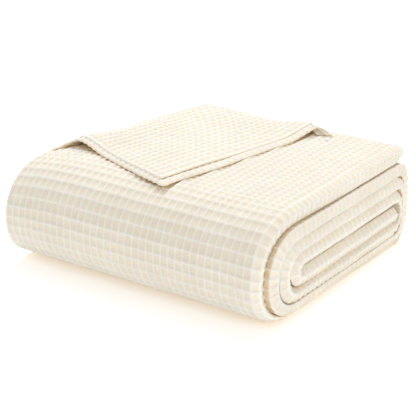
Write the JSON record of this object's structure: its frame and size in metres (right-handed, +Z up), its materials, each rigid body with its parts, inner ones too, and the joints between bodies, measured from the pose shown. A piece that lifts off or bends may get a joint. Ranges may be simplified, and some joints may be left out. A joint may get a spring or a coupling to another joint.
{
  "type": "folded throw blanket",
  "caption": "Cream waffle-weave throw blanket, folded into a strip and rolled flat into a bundle, with one corner turned back over the top.",
  "frame": {"origin": "on the floor, under the middle of the bundle", "axes": "+X along the roll, from its open hemmed end to its folded end; +Y from the rounded front of the roll to its back; +Z up"},
  "size_m": [0.3599, 0.337, 0.1328],
  "materials": {
    "waffle_cloth": "matt waffle weave",
    "corner_cloth": "matt waffle weave",
    "hem_cloth": "matt sewn hem"
  },
  "bodies": {
    "bundle": {"outer_wrap": "waffle_cloth", "second_wrap": "waffle_cloth", "third_wrap": "waffle_cloth", "core_wrap": "waffle_cloth", "corner_fold_lower": "corner_cloth", "corner_fold_upper": "corner_cloth"},
    "corner_lower": {"turned_corner_lower": "corner_cloth", "corner_hem_lower": "hem_cloth"},
    "corner_upper": {"turned_corner_upper": "corner_cloth", "corner_hem_upper": "hem_cloth"}
  },
  "joints": [
    {"name": "corner_lift", "type": "hinge", "parent": "bundle", "child": "corner_lower", "pos_m": [-0.046, 0.039, 0.1264], "axis": [-0.7802, -0.6255, 0], "range_deg": [0, 95]},
    {"name": "upper_ply_lift", "type": "hinge", "parent": "corner_lower", "child": "corner_upper", "pos_m": [-0.0404, 0.032, 0.1308], "axis": [-0.7802, -0.6255, 0], "range_deg": [0, 60]}
  ]
}
